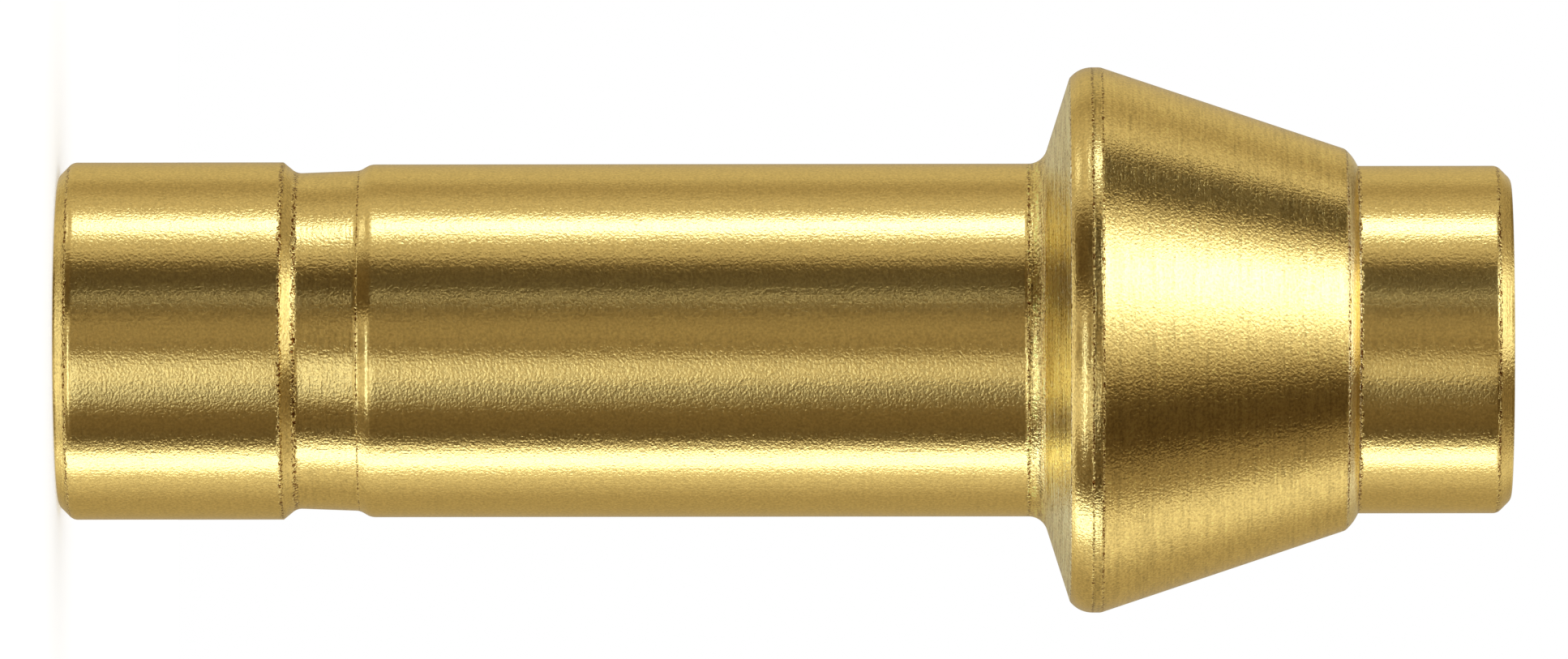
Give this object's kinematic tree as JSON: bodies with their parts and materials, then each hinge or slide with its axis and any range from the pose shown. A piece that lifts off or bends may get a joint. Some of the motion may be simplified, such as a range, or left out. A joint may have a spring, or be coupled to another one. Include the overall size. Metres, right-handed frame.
{
  "type": "tube port connector",
  "caption": "Turned brass tube stub with a setting groove, an integral cone-shaped ferrule and a short nose, bored right through.",
  "frame": {"origin": "centre of the stub end's face, on the turning axis", "axes": "+Z along the turning axis, from the stub end that it stands on up to the nose"},
  "size_m": [0.0096, 0.0096, 0.0258],
  "materials": {
    "brass": "satin, fine turned, with circumferential tool lines"
  },
  "bodies": {
    "root": {"port_connector": "brass"}
  },
  "joints": []
}
